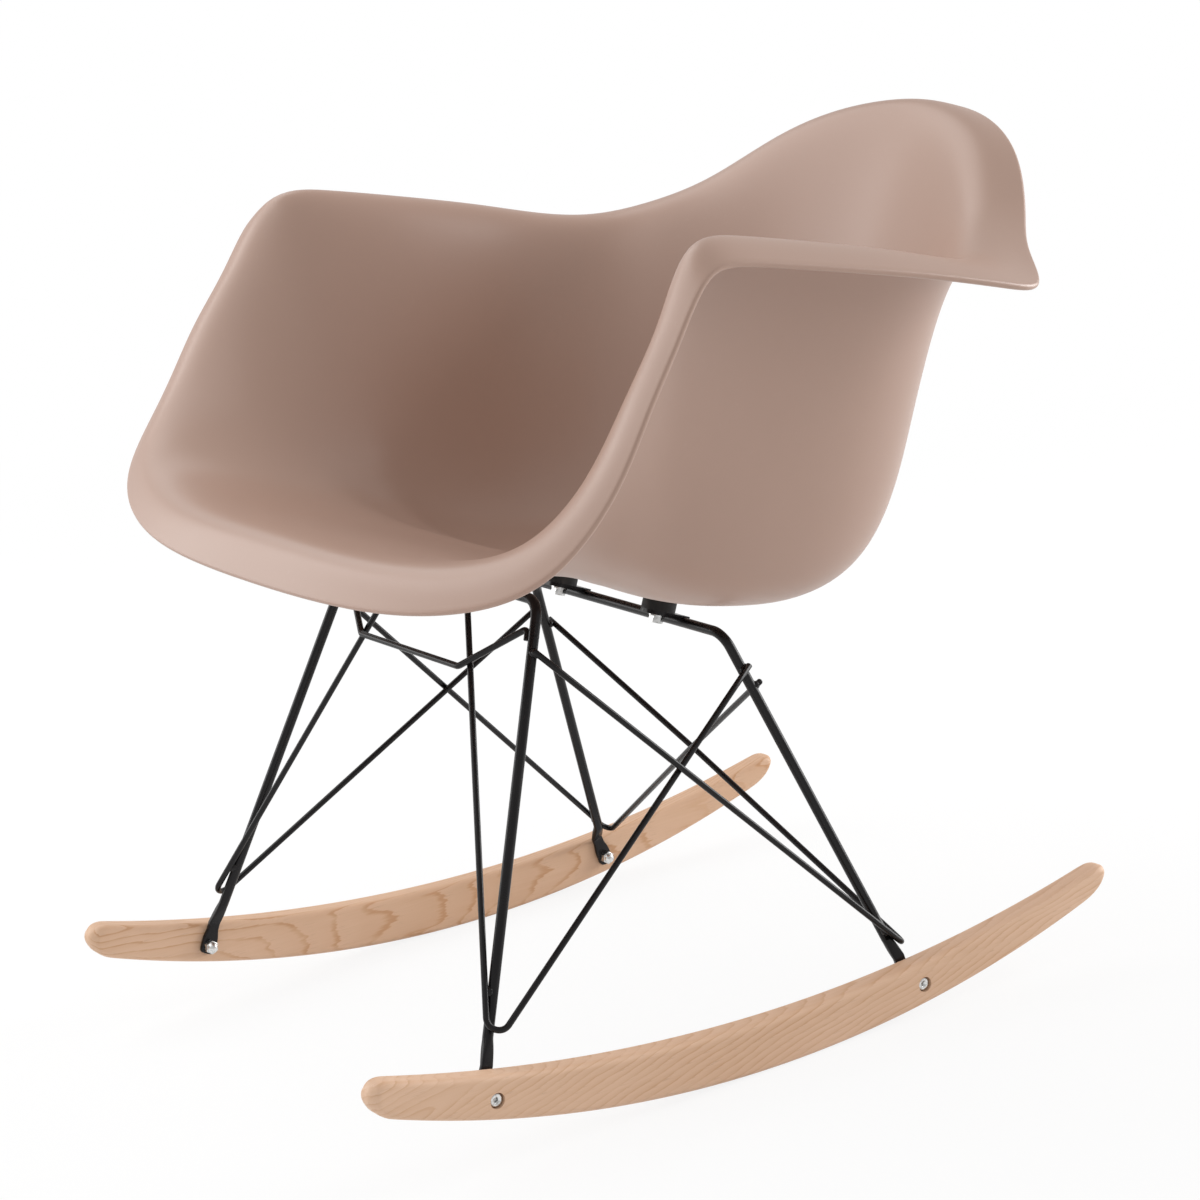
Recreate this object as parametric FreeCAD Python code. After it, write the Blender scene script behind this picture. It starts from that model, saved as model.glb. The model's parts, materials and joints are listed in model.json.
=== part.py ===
import FreeCAD, Part
import math
import os

# Moulded armchair shell on a bent wire frame and two wooden rockers.
# Millimetres. X is the sitter's left, front is -Y, Z is up, and the chair is symmetric about X = 0.
# The chair is drawn with its rockers level, then laid back to the pitch at which it rests when empty.

# Seat shell: widths, depths and heights of its rim
wall = 5.0
lip_front = 232.5
lip_height = 372.0
arm_half_width = 314.0
arm_front_height = 616.0
arm_rear_height = 590.0
wing_rear = 253.0
crest_rear = 405.0
crest_height = 702.0
flange_width = 62.0
flange_crown = 30.5
floor_half_width = 204.0
floor_height = 341.0
centre_y = 40.0
centre_rise = 13.0
centre_disc_radius = 9.0
floor_ring_share = 0.55
floor_ring_rise = 0.5
wall_ring_share = 0.45
flare_ring_share = 0.55
nose_bulge_share = 0.667
sewing_tolerance = 0.001

# Seat mounts: bosses, inserts, spacers, tabs and bolts
mount_tilt = 14.8
mount_half_spacing = 67.4
mount_inset = 17.8
boss_diameter = 27.0
boss_column_height = 19.0
insert_diameter = 8.0
insert_length = 5.2
insert_depth_gap = 0.3
spacer_diameter = 24.0
spacer_height = 8.0
tab_width = 26.0
tab_reach = 12.5
tab_thickness = 3.0
tab_lift = 1.0
tab_corner_radius = 11.0
bolt_diameter = 6.0
bolt_hole_gap = 0.3
bolt_head_flats = 10.0
bolt_head_height = 5.2
washer_diameter = 13.0
washer_thickness = 1.5
bolt_end_gap = 0.5

# Frame: main rods, thin wires and the front brace
rod_diameter = 8.0
wire_diameter = 4.8
brace_diameter = 5.0
rod_bend_radius = 16.0
front_rod_half = 131.0
front_rod_y = -69.8
front_rod_rise = 18.5
front_rod_z = floor_height + front_rod_rise
rear_rod_half = 129.6
rear_rod_y = 99.0
rear_rod_drop = 26.2
rear_rod_z = floor_height - rear_rod_drop
weld_gap = 0.05
wire_gap = 0.15
weld_radius = 3.6
wire_end_overrun = 3.5
foot_thickness = 4.0
foot_width = 13.0
foot_length = 18.0
front_ankle_half = 198.9
front_ankle_y = -158.8
front_ankle_z = 65.0
rear_ankle_half = 196.5
rear_ankle_y = 209.3
rear_ankle_z = 71.5
brace_half_width = 70.4
brace_y = -100.6
brace_drop = 55.7
brace_z = front_rod_z - brace_drop
brace_seat_drop = 18.7
brace_seat_z = front_rod_z - brace_seat_drop
brace_end_length = 9.0
brace_bend_radius = 7.0
brace_end_bend_radius = 3.2
brace_weld_share = 0.4
front_hairpin_half = 214.2
front_hairpin_y = -168.5
front_hairpin_z = 57.2
front_wire_bend_radius = 9.0
front_wire_cross_x = 43.7
side_wire_rear_drop = 28.0
side_wire_rear_seat_z = rear_rod_z - side_wire_rear_drop
rear_hairpin_half = 204.5
rear_hairpin_y = 226.5
rear_hairpin_z = 62.5
rear_wire_bend_radius = 6.5
rear_wire_cross_drop = 42.4
rear_wire_cross_seat_z = rear_rod_z - rear_wire_cross_drop
side_wire_front_drop = 36.5
side_wire_front_seat_z = front_rod_z - side_wire_front_drop
cross_bow = 2.75
cross_bow_radius = 400.0
seat_passes = 4

# Rockers and their bolts
rocker_outer = 229.0
rocker_thickness = 21.0
rocker_front = -272.0
rocker_rear = 417.0
rocker_tail_lean = 9.0
rocker_end_zone = 20.0
sole_radius = 1000.0
sole_centre_y = 1.7
sole_low = -1.2
sole_rest_angle = 3.8
sole_rest_lead = 0.12
top_radius = 1352.0
top_centre_y = -13.2
top_rise = 38.1
rocker_nose_radius = 11.0
rocker_tail_radius = 8.0
rocker_edge_radius = 3.5
front_bolt_y = -170.0
front_bolt_z = 28.9
rear_bolt_y = 222.2
rear_bolt_z = 40.5
rocker_bolt_head_diameter = 10.0
rocker_bolt_head_height = 3.4
rocker_bolt_head_chamfer = 0.5
rocker_bolt_end_gap = 1.0
counterbore_diameter = 12.0
counterbore_depth = 5.0
socket_flats = 4.0
socket_depth = 2.2
nut_flats = 10.0
nut_hex_height = 5.0
nut_dome_height = 4.5
nut_dome_inset = 0.3
nut_bore_depth = 7.5

# Rest pose of the empty chair
rest_pitch = 5.7
plastic_density = 1.1e-6
wood_density = 0.6e-6
rubber_density = 1.2e-6
steel_density = 7.85e-6
bounds_tolerance = 0.3
edge_tolerance = 0.01

os.makedirs("parts", exist_ok=True)


def vec(x, y, z):
    return FreeCAD.Vector(x, y, z)


def unit(v):
    return vec(v.x, v.y, v.z).normalize()


X_AXIS = vec(1, 0, 0)
Z_AXIS = vec(0, 0, 1)
WELD_AXIS = vec(1, 2, 3)


# Seat shell


def rim_stations():
    """Guide points of the rim, from the middle of the lip to the middle of the crest."""
    w = arm_half_width
    return [
        (0, -lip_front, lip_height),
        (90, -lip_front + 1.5, lip_height + 1),
        (180, -lip_front + 10, lip_height + 6),
        (w - 56, -lip_front + 29, lip_height + 20),
        (w - 8, -lip_front + 57, lip_height + 48),
        (w + 7, -139, 468),
        (w + 7, -110.5, 520),
        (w + 3, -83, arm_front_height - 50),
        (w + 1, -55, arm_front_height - 7),
        (w, -12, arm_front_height),
        (w, 60, arm_front_height - 7),
        (w, 140, arm_rear_height + 10),
        (w - 1, wing_rear - 44, arm_rear_height),
        (w - 15, wing_rear + 1, arm_rear_height - 2),
        (w - 68, wing_rear + 38, arm_rear_height + 17),
        (w - 114, crest_rear - 77, crest_height - 70),
        (w - 164, crest_rear - 42, crest_height - 34),
        (84, crest_rear - 15, crest_height - 8),
        (0, crest_rear, crest_height),
    ]


def crown_stations():
    """Guide points of the crown, where the walls turn over into the flange and the lip."""
    w = arm_half_width - flange_width
    top = arm_front_height + flange_crown
    rear = arm_rear_height + flange_crown
    return [
        (0, -lip_front + 10.5, lip_height + 34),
        (88, -lip_front + 11.5, lip_height + 34),
        (172, -lip_front + 20.5, lip_height + 37),
        (w - 9, -lip_front + 38.5, lip_height + 48),
        (w + 32, -lip_front + 62.5, lip_height + 72),
        (w + 44, -137, 488),
        (w + 41, -107, 541),
        (w + 34, -76, top - 52),
        (w + 22, -47, top - 5),
        (w + 6, 4, top),
        (w - 2, 64, top - 7),
        (w - 3, 134, rear + 9),
        (w - 10, 188, rear),
        (w - 32, wing_rear - 17, rear - 2),
        (w - 66, wing_rear + 17, rear + 4),
        (w - 100, crest_rear - 103, crest_height - 59),
        (w - 140, crest_rear - 71, crest_height - 27),
        (62, crest_rear - 45, crest_height - 2),
        (0, crest_rear - 31, crest_height + 10),
    ]


def floor_stations():
    """Guide points of the floor's edge, where the seat turns up into the walls and the back."""
    w = floor_half_width
    z = floor_height
    return [
        (0, -158, z + 58),
        (56, -156, z + 58),
        (104, -149, z + 57),
        (138, -135, z + 55),
        (158, -113, z + 52),
        (170, -88, z + 48),
        (w - 25, -60, z + 42),
        (w - 17, -32, z + 31),
        (w - 10, -2, z + 20),
        (w - 3, 30, z + 7),
        (w + 1, 70, z - 4),
        (w, 114, z - 10),
        (w - 7, 153, z - 12),
        (w - 22, 190, z - 8),
        (w - 48, 219, z),
        (w - 78, 239, z + 8),
        (90, 255, z + 15),
        (46, 261, z + 18),
        (0, 263, z + 19),
    ]


def mirrored(half):
    """A closed ring of points from the stations of one half."""
    left = [vec(*p) for p in half]
    right = [vec(-p.x, p.y, p.z) for p in left[-2:0:-1]]
    return left + right


def blend(a, b, share):
    return [p * (1 - share) + q * share for p, q in zip(a, b)]


def inner_rings():
    """Rings of guide points up the inside of the shell, from the middle of the seat to the rim."""
    rim = mirrored(rim_stations())
    crown = mirrored(crown_stations())
    edge = mirrored(floor_stations())
    centre = vec(0, centre_y, floor_height + centre_rise)
    slope = math.tan(math.radians(mount_tilt))
    disc = []
    for p in edge:
        out = unit(vec(p.x, p.y - centre.y, 0)) * centre_disc_radius
        disc.append(centre + out + vec(0, 0, -out.y * slope))
    floor = blend([centre] * len(edge), edge, floor_ring_share)
    for i, p in enumerate(floor):
        floor[i] = vec(p.x, p.y, centre.z + (edge[i].z - centre.z) * floor_ring_rise)
    wall_ring = blend(edge, crown, wall_ring_share)
    for i, p in enumerate(wall_ring):
        wall_ring[i] = vec(p.x, p.y, (edge[i].z + crown[i].z) / 2)
    flare = blend(crown, rim, flare_ring_share)
    return [disc, floor, edge, wall_ring, crown, flare, rim]


def clamped_knots(rows):
    spans = rows - 3
    return [float(i) for i in range(spans + 1)], [4] + [1] * (spans - 1) + [4]


def surface_of(rings):
    """A cubic surface, closed around, whose control rows pass through the rings' points."""
    count = len(rings[0])
    rows = []
    for ring in rings:
        curve = Part.BSplineCurve()
        curve.interpolate(Points=ring, PeriodicFlag=True, Parameters=[float(i) for i in range(count + 1)])
        rows.append(curve.getPoles())
    around = curve.getKnots()
    poles = [[row[i] for row in rows] for i in range(len(rows[0]))]
    across, mults = clamped_knots(len(rings))
    surface = Part.BSplineSurface()
    surface.buildFromPolesMultsKnots(
        poles, curve.getMultiplicities(), mults, around, across, True, False, 3, 3)
    return surface


def greville(rows):
    """Parameters at which each clamped control row has its strongest pull."""
    knots, mults = clamped_knots(rows)
    full = []
    for k, m in zip(knots, mults):
        full.extend([k] * m)
    return [(full[i + 1] + full[i + 2] + full[i + 3]) / 3 for i in range(rows)]


def outer_rings(inner, rings, pulls):
    """The rings of the outer face: each inner point moved out by the wall's thickness."""
    middle = sum(rings[-1], vec(0, 0, 0)) * (1 / len(rings[-1]))
    wall_normal = inner.normal(0, pulls[3])
    outward = 1 if wall_normal.dot(middle - rings[3][0]) < 0 else -1
    lean = math.radians(mount_tilt)
    down = vec(0, -math.sin(lean), -math.cos(lean))
    outer = [[p + down * wall for p in rings[0]]]
    for ring, v in list(zip(rings, pulls))[1:]:
        outer.append([p + inner.normal(i, v) * (outward * wall) for i, p in enumerate(ring)])
    return outer


def seat_shell():
    """The moulded shell: inner and outer skins, a round nose along the rim and two small discs."""
    rings = inner_rings()
    inner = surface_of(rings)
    pulls = greville(len(rings))
    outer = outer_rings(inner, rings, pulls)
    nose_in = []
    nose_out = []
    for i, p in enumerate(rings[-1]):
        step = unit(inner.getDN(i, pulls[-1], 0, 1)) * (wall * nose_bulge_share)
        nose_in.append(p + step)
        nose_out.append(outer[-1][i] + step)
    outer_surface = surface_of(outer)
    nose = surface_of([rings[-1], nose_in, nose_out, outer[-1]])
    faces = [inner.toShape(), outer_surface.toShape(), nose.toShape()]
    for surface in (inner, outer_surface):
        faces.append(Part.Face(Part.Wire(surface.vIso(0).toShape())))
    skin = Part.makeShell(faces)
    skin.sewShape(sewing_tolerance)
    body = Part.makeSolid(skin)
    if body.Volume < 0:
        body.reverse()
    return body


def mount_frame(side, front):
    """Top of the tab at one mount: its point, the way up the bolt and the way in from the rod."""
    a = math.radians(mount_tilt)
    up = vec(0, math.sin(a), math.cos(a))
    along = vec(0, math.cos(a), -math.sin(a))
    inward = along if front else along * -1
    y, z = (front_rod_y, front_rod_z) if front else (rear_rod_y, rear_rod_z)
    top = rod_diameter / 2 + tab_lift
    return vec(side * mount_half_spacing, y, z) + inward * mount_inset + up * top, up, inward


def mounts():
    for front in (True, False):
        for side in (1, -1):
            name = ("front" if front else "rear") + "_" + ("left" if side > 0 else "right")
            yield name, side, front


def cylinder(radius, height, base, direction):
    return Part.makeCylinder(radius, height, base, direction)


def hex_prism(flats, height, base, direction):
    """Hexagonal prism whose flats are the given distance apart."""
    corner = flats / math.sqrt(3)
    points = []
    for i in range(7):
        a = math.radians(60 * i)
        points.append(vec(corner * math.cos(a), corner * math.sin(a), 0))
    prism = Part.Face(Part.makePolygon(points)).extrude(vec(0, 0, height))
    prism.Placement = FreeCAD.Placement(base, FreeCAD.Rotation(Z_AXIS, direction))
    return prism


def add_bosses(shell):
    for name, side, front in mounts():
        point, up, inward = mount_frame(side, front)
        foot = point + up * spacer_height
        column = cylinder(boss_diameter / 2, boss_column_height, foot, up)
        pieces = column.cut(shell).Solids
        boss = min(pieces, key=lambda s: (s.CenterOfMass - foot).Length)
        shell = shell.fuse(boss)
    for name, side, front in mounts():
        point, up, inward = mount_frame(side, front)
        foot = point + up * spacer_height
        shell = shell.cut(cylinder(insert_diameter / 2, insert_length + insert_depth_gap, foot, up))
    return shell


# Frame


def path_with_bends(points, radii):
    """Straight runs joined by tangent arcs, one radius for each inner point."""
    edges = []
    start = points[0]
    for i in range(1, len(points) - 1):
        p = points[i]
        a = unit(points[i - 1] - p)
        b = unit(points[i + 1] - p)
        half = a.getAngle(b) / 2
        cut = radii[i - 1] / math.tan(half)
        first = p + a * cut
        last = p + b * cut
        middle = p + unit(a + b) * (radii[i - 1] / math.sin(half) - radii[i - 1])
        edges.append(Part.LineSegment(start, first).toShape())
        edges.append(Part.Arc(first, middle, last).toShape())
        start = last
    edges.append(Part.LineSegment(start, points[-1]).toShape())
    return Part.Wire(edges)


def round_bar(points, radii, diameter):
    """A round bar bent along the points."""
    path = path_with_bends(points, radii)
    section = Part.Wire(Part.makeCircle(diameter / 2, points[0], points[1] - points[0]))
    return path.makePipeShell([section], True, False)


def seat_beside(axis_point, axis_dir, other_dir, toward, distance):
    """Where the axis of a crossing wire passes, so that it touches the rod on the named side."""
    n = unit(axis_dir.cross(other_dir))
    if n.dot(toward) < 0:
        n = n * -1
    return axis_point + n * distance


def leg_line(side, front):
    """Top bend and ankle of a leg, the top of its flat foot and the centre of its rocker bolt."""
    plane = rocker_outer - rocker_thickness - foot_thickness / 2
    if front:
        top = vec(front_rod_half, front_rod_y, front_rod_z)
        ankle = vec(front_ankle_half, front_ankle_y, front_ankle_z)
        bolt = vec(plane, front_bolt_y, front_bolt_z)
    else:
        top = vec(rear_rod_half, rear_rod_y, rear_rod_z)
        ankle = vec(rear_ankle_half, rear_ankle_y, rear_ankle_z)
        bolt = vec(plane, rear_bolt_y, rear_bolt_z)
    lean = (ankle.y - top.y) / (ankle.z - top.z)
    flat = bolt + vec(0, lean * foot_length, foot_length)
    return [vec(side * p.x, p.y, p.z) for p in (top, ankle, flat, bolt)]


def on_leg(side, front, z):
    """Point of a leg's axis at a height, and the way up the leg."""
    top, ankle, flat, bolt = leg_line(side, front)
    way = unit(top - ankle)
    return ankle + way * ((z - ankle.z) / way.z), way


def foot_plate(side, front, grow=0.0):
    """Flattened end of a leg: a taper from the round rod to a flat tab with a bolt hole."""
    top, ankle, flat, bolt = leg_line(side, front)
    way = unit(top - ankle)
    down = unit(bolt - flat)
    round_end = Part.Wire(Part.makeCircle(rod_diameter / 2 + grow, ankle, way))
    across = unit(down.cross(X_AXIS))
    half_w = foot_width / 2 + grow
    half_t = foot_thickness / 2 + grow
    ring = []
    for along, thick in ((1, 1), (-1, 1), (-1, -1), (1, -1), (1, 1)):
        ring.append(flat + across * (along * half_w) + X_AXIS * (thick * half_t))
    flat_end = Part.makePolygon(ring)
    taper = Part.makeLoft([round_end, flat_end], True, False)
    face = Part.Face(flat_end)
    strap = face.extrude(bolt - flat)
    eye = cylinder(half_w, half_t * 2, bolt - X_AXIS * half_t, X_AXIS)
    hole = cylinder(bolt_diameter / 2 + bolt_hole_gap, foot_thickness * 2, bolt - X_AXIS * foot_thickness, X_AXIS)
    return [taper, strap.fuse(eye).cut(hole)]


def main_rod(front, grow=0.0):
    """An inverted U: the cross rod under the seat, two splayed legs and their flattened feet."""
    left_top, left_ankle = leg_line(1, front)[:2]
    right_top, right_ankle = leg_line(-1, front)[:2]
    points = [left_ankle, left_top, right_top, right_ankle]
    rod = round_bar(points, [rod_bend_radius] * 2, rod_diameter + 2 * grow)
    for side in (1, -1):
        for piece in foot_plate(side, front, grow):
            rod = rod.fuse(piece)
    return rod.removeSplitter()


def tab(side, front):
    """Flat plate welded on the top of the cross rod, with a round end about the seat bolt's hole."""
    point, up, inward = mount_frame(side, front)
    behind = mount_inset + rod_diameter / 2
    depth = behind + tab_reach
    plate = Part.makeBox(tab_width, depth, tab_thickness)
    plate = plate.makeFillet(tab_corner_radius, [e for e in plate.Edges if is_tab_corner(e, depth)])
    turn = FreeCAD.Rotation(X_AXIS, inward, up, "XYZ")
    start = point - inward * behind - up * tab_thickness - X_AXIS * (tab_width / 2)
    if not front:
        start = start + X_AXIS * tab_width
        turn = FreeCAD.Rotation(X_AXIS * -1, inward, up, "XYZ")
    plate.Placement = FreeCAD.Placement(start, turn)
    hole = cylinder(bolt_diameter / 2 + bolt_hole_gap, tab_thickness * 3, point - up * (tab_thickness * 2), up)
    return plate.cut(hole).cut(sleeves[front])


def is_tab_corner(edge, depth):
    """True for the two upright edges at the free end of the tab."""
    c = edge.CenterOfMass
    upright = abs(c.z - tab_thickness / 2) < edge_tolerance and abs(edge.Length - tab_thickness) < edge_tolerance
    return upright and abs(c.y - depth) < edge_tolerance


def weld(point):
    """A bead of weld that ends at the weld gap around the main rods."""
    bead = Part.makeSphere(weld_radius, point, WELD_AXIS)
    for sleeve in sleeves.values():
        bead = bead.cut(sleeve)
    return max(bead.Solids, key=lambda solid: solid.Volume)


def with_welds(wire, points):
    for point in points:
        wire = wire.fuse(weld(point))
    return wire


def seat_on(start, rod_point, rod_way, toward, touch):
    """Where a straight wire from start passes, so that it touches a rod on the named side."""
    seat = rod_point
    for turn in range(seat_passes):
        seat = seat_beside(rod_point, rod_way, unit(seat - start), toward, touch)
    return seat


def weld_between(start, end, rod_point, rod_way):
    """Middle of the gap between a wire's straight run and a rod."""
    return nearest_point(start, unit(end - start), rod_point, rod_way)


def front_foot_wire(side):
    """V of thin wire at a front foot: one arm to the front cross rod, one to the rear leg."""
    touch = (rod_diameter + wire_diameter) / 2 + wire_gap
    foot, foot_way = on_leg(side, True, front_ankle_z)
    vertex = vec(side * front_hairpin_half, front_hairpin_y, front_hairpin_z)
    cross = vec(side * front_wire_cross_x, front_rod_y, front_rod_z)
    high = seat_on(vertex, cross, X_AXIS, vec(0, -1, 0), touch)
    rear, rear_way = on_leg(side, False, side_wire_rear_seat_z)
    far = seat_on(vertex, rear, rear_way, vec(side, 0, 0), touch)
    top_a = high + unit(high - vertex) * wire_end_overrun
    top_b = far + unit(far - vertex) * wire_end_overrun
    wire = round_bar([top_a, vertex, top_b], [front_wire_bend_radius], wire_diameter)
    beads = [
        weld_between(vertex, high, foot, foot_way),
        weld_between(vertex, high, cross, X_AXIS),
        weld_between(vertex, far, rear, rear_way),
    ]
    return with_welds(wire, beads)


def rear_foot_wire(side):
    """V of thin wire behind a rear foot: one arm to the front leg, one across to the other rear leg."""
    touch = (rod_diameter + wire_diameter) / 2 + wire_gap
    foot, foot_way = on_leg(side, False, rear_ankle_z)
    vertex = vec(side * rear_hairpin_half, rear_hairpin_y, rear_hairpin_z)
    other, other_way = on_leg(-side, False, rear_wire_cross_seat_z)
    far = seat_on(vertex, other, other_way, vec(0, 1, 0), touch)
    front, front_way = on_leg(side, True, side_wire_front_seat_z)
    near = seat_on(vertex, front, front_way, vec(side, 0, 0), touch)
    top_cross = far + unit(far - vertex) * wire_end_overrun
    top_side = near + unit(near - vertex) * wire_end_overrun
    share = vertex.x / (vertex.x - top_cross.x)
    middle = vertex + (top_cross - vertex) * share + vec(0, side * cross_bow, 0)
    wire = round_bar(
        [top_side, vertex, middle, top_cross], [rear_wire_bend_radius, cross_bow_radius], wire_diameter)
    beads = [
        weld_between(vertex, near, foot, foot_way),
        weld_between(vertex, far, other, other_way),
        weld_between(vertex, near, front, front_way),
    ]
    return with_welds(wire, beads)


def nearest_point(p, u, q, v):
    """Middle of the shortest line between two lines."""
    w = p - q
    b = u.dot(v)
    d = u.dot(w)
    e = v.dot(w)
    s = (b * e - d) / (1 - b * b)
    t = (e - b * d) / (1 - b * b)
    return (p + u * s + q + v * t) * 0.5


def front_brace():
    """Brace between the front legs: it dips to a straight middle run and its ends lie down the legs."""
    touch = (rod_diameter + brace_diameter) / 2 + wire_gap
    points = []
    beads = []
    for side in (1, -1):
        leg, way = on_leg(side, True, brace_seat_z)
        corner = vec(side * brace_half_width, brace_y, brace_z)
        toward = unit(corner - leg)
        offset = unit(toward - way * toward.dot(way)) * touch
        upper = leg + offset
        lower = upper - way * brace_end_length
        run = [lower, upper, corner]
        points.extend(run if side > 0 else run[::-1])
        beads += blend([upper, lower], [leg, leg - way * brace_end_length], brace_weld_share)
    radii = [brace_end_bend_radius, brace_bend_radius, brace_bend_radius, brace_end_bend_radius]
    return with_welds(round_bar(points, radii, brace_diameter), beads)


# Rockers


def arc_height(radius, centre_y, low, y):
    """Height of an upward curving arc whose lowest point is at centre_y."""
    return low + radius - math.sqrt(radius * radius - (y - centre_y) ** 2)


def arc_through(x, radius, centre_y, low, start, end):
    """Arc of a circle in the plane of a rocker, between two places along its length."""
    ys = (start, (start + end) / 2, end)
    return Part.Arc(*[vec(x, y, arc_height(radius, centre_y, low, y)) for y in ys]).toShape()


def sole_place(angle):
    """Place along the rocker that lies at an angle from the lowest point of the sole's arc."""
    return sole_centre_y + sole_radius * math.sin(math.radians(angle))


def is_across(edge):
    """True for an edge that runs across a rocker's thickness."""
    spans = abs(edge.BoundBox.XLength - rocker_thickness) < edge_tolerance
    return spans and abs(edge.Length - rocker_thickness) < edge_tolerance


def rocker(side):
    """Curved board with eased edges; the run of the sole that the empty chair rests on has its own edges."""
    inner = rocker_outer - rocker_thickness
    x = inner if side > 0 else -rocker_outer
    rest = rest_pitch + sole_rest_lead
    stops = [rocker_front, sole_place(rest - sole_rest_angle / 2), sole_place(rest + sole_rest_angle / 2)]
    stops.append(rocker_rear - rocker_tail_lean)
    edges = []
    for start, end in zip(stops, stops[1:]):
        edges.append(arc_through(x, sole_radius, sole_centre_y, sole_low, start, end))
    top = arc_through(x, top_radius, top_centre_y, top_rise, rocker_rear, rocker_front)
    edges.append(Part.LineSegment(edges[-1].Vertexes[-1].Point, top.Vertexes[0].Point).toShape())
    edges.append(top)
    edges.append(Part.LineSegment(top.Vertexes[-1].Point, edges[0].Vertexes[0].Point).toShape())
    board = Part.Face(Part.Wire(edges)).extrude(vec(rocker_thickness, 0, 0))
    nose = [e for e in board.Edges if is_across(e) and e.CenterOfMass.y < rocker_front + rocker_end_zone]
    board = board.makeFillet(rocker_nose_radius, nose)
    tail = [e for e in board.Edges if is_across(e) and e.CenterOfMass.y > rocker_rear - rocker_end_zone]
    board = board.makeFillet(rocker_tail_radius, tail)
    board = board.makeFillet(rocker_edge_radius, [e for e in board.Edges if not is_across(e)])
    for y, z in ((front_bolt_y, front_bolt_z), (rear_bolt_y, rear_bolt_z)):
        out = vec(side, 0, 0)
        face = vec(side * rocker_outer, y, z)
        board = board.cut(cylinder(bolt_diameter / 2 + bolt_hole_gap, rocker_thickness * 2, face, out * -1))
        board = board.cut(cylinder(counterbore_diameter / 2, counterbore_depth, face, out * -1))
    return board


def rocker_bolt(side, front):
    """Round head with a hexagon socket, and a shank that ends inside the nut."""
    y, z = (front_bolt_y, front_bolt_z) if front else (rear_bolt_y, rear_bolt_z)
    out = vec(side, 0, 0)
    seat = vec(side * (rocker_outer - counterbore_depth), y, z)
    head = cylinder(rocker_bolt_head_diameter / 2, rocker_bolt_head_height, seat, out)
    outer_x = seat.x + side * rocker_bolt_head_height
    rim = [e for e in head.Edges if abs(e.CenterOfMass.x - outer_x) < edge_tolerance]
    head = head.makeChamfer(rocker_bolt_head_chamfer, [e for e in rim if e.Curve.TypeId == "Part::GeomCircle"])
    grip = rocker_thickness - counterbore_depth + foot_thickness + nut_bore_depth - rocker_bolt_end_gap
    shank = cylinder(bolt_diameter / 2, grip, seat, out * -1)
    socket = hex_prism(socket_flats, socket_depth, seat + out * (rocker_bolt_head_height - socket_depth), out)
    return head.fuse(shank).cut(socket)


def acorn_nut(side, front):
    """Domed nut against the inside of the foot."""
    y, z = (front_bolt_y, front_bolt_z) if front else (rear_bolt_y, rear_bolt_z)
    into = vec(-side, 0, 0)
    seat = vec(side * (rocker_outer - rocker_thickness - foot_thickness), y, z)
    hexagon = hex_prism(nut_flats, nut_hex_height, seat, into)
    dome_radius = nut_flats / 2 - nut_dome_inset
    dome = Part.makeSphere(dome_radius, seat + into * (nut_hex_height + nut_dome_height - dome_radius))
    below = cylinder(nut_flats, nut_flats * 2, seat + into * nut_hex_height, into * -1)
    body = hexagon.fuse(dome.cut(below))
    bore = cylinder(bolt_diameter / 2 + weld_gap, nut_bore_depth, seat, into)
    return body.cut(bore)


# Seat fasteners


def spacer(side, front):
    point, up, inward = mount_frame(side, front)
    hole = cylinder(bolt_diameter / 2 + bolt_hole_gap, spacer_height, point, up)
    return cylinder(spacer_diameter / 2, spacer_height, point, up).cut(hole)


def insert(side, front):
    point, up, inward = mount_frame(side, front)
    base = point + up * spacer_height
    return cylinder(insert_diameter / 2, insert_length, base, up).cut(
        cylinder(bolt_diameter / 2 + weld_gap, insert_length, base, up))


def washer(side, front):
    point, up, inward = mount_frame(side, front)
    base = point - up * (tab_thickness + washer_thickness)
    return cylinder(washer_diameter / 2, washer_thickness, base, up).cut(
        cylinder(bolt_diameter / 2 + bolt_hole_gap, washer_thickness, base, up))


def seat_bolt(side, front):
    point, up, inward = mount_frame(side, front)
    seat = point - up * (tab_thickness + washer_thickness)
    length = washer_thickness + tab_thickness + spacer_height + insert_length - bolt_end_gap
    head = hex_prism(bolt_head_flats, bolt_head_height, seat - up * bolt_head_height, up)
    return head.fuse(cylinder(bolt_diameter / 2, length, seat, up))


# Assembly


def density_of(name):
    """Kilograms per cubic millimetre of a node's material."""
    if name == "seat_shell":
        return plastic_density
    if name in ("rocker_left", "rocker_right"):
        return wood_density
    return rubber_density if name.startswith("spacer") else steel_density


# The main rods with the weld gap around them, which clear the space in the pieces welded to them
sleeves = {front: main_rod(front, weld_gap) for front in (True, False)}

nodes = {}
nodes["seat_shell"] = add_bosses(seat_shell())
nodes["front_frame_rod"] = main_rod(True)
nodes["rear_frame_rod"] = main_rod(False)
nodes["front_brace"] = front_brace()
nodes["front_foot_wire_left"] = front_foot_wire(1)
nodes["front_foot_wire_right"] = nodes["front_foot_wire_left"].mirror(vec(0, 0, 0), X_AXIS)
for label, side in (("left", 1), ("right", -1)):
    nodes["rear_foot_wire_" + label] = rear_foot_wire(side)
    nodes["rocker_" + label] = rocker(side)
for name, side, front in mounts():
    nodes["mount_tab_" + name] = tab(side, front)
    nodes["spacer_" + name] = spacer(side, front)
    nodes["threaded_insert_" + name] = insert(side, front)
    nodes["washer_" + name] = washer(side, front)
    nodes["seat_bolt_" + name] = seat_bolt(side, front)
    nodes["rocker_bolt_" + name] = rocker_bolt(side, front)
    nodes["acorn_nut_" + name] = acorn_nut(side, front)

nodes = {name: shape.Solids[0] for name, shape in nodes.items()}

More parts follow.
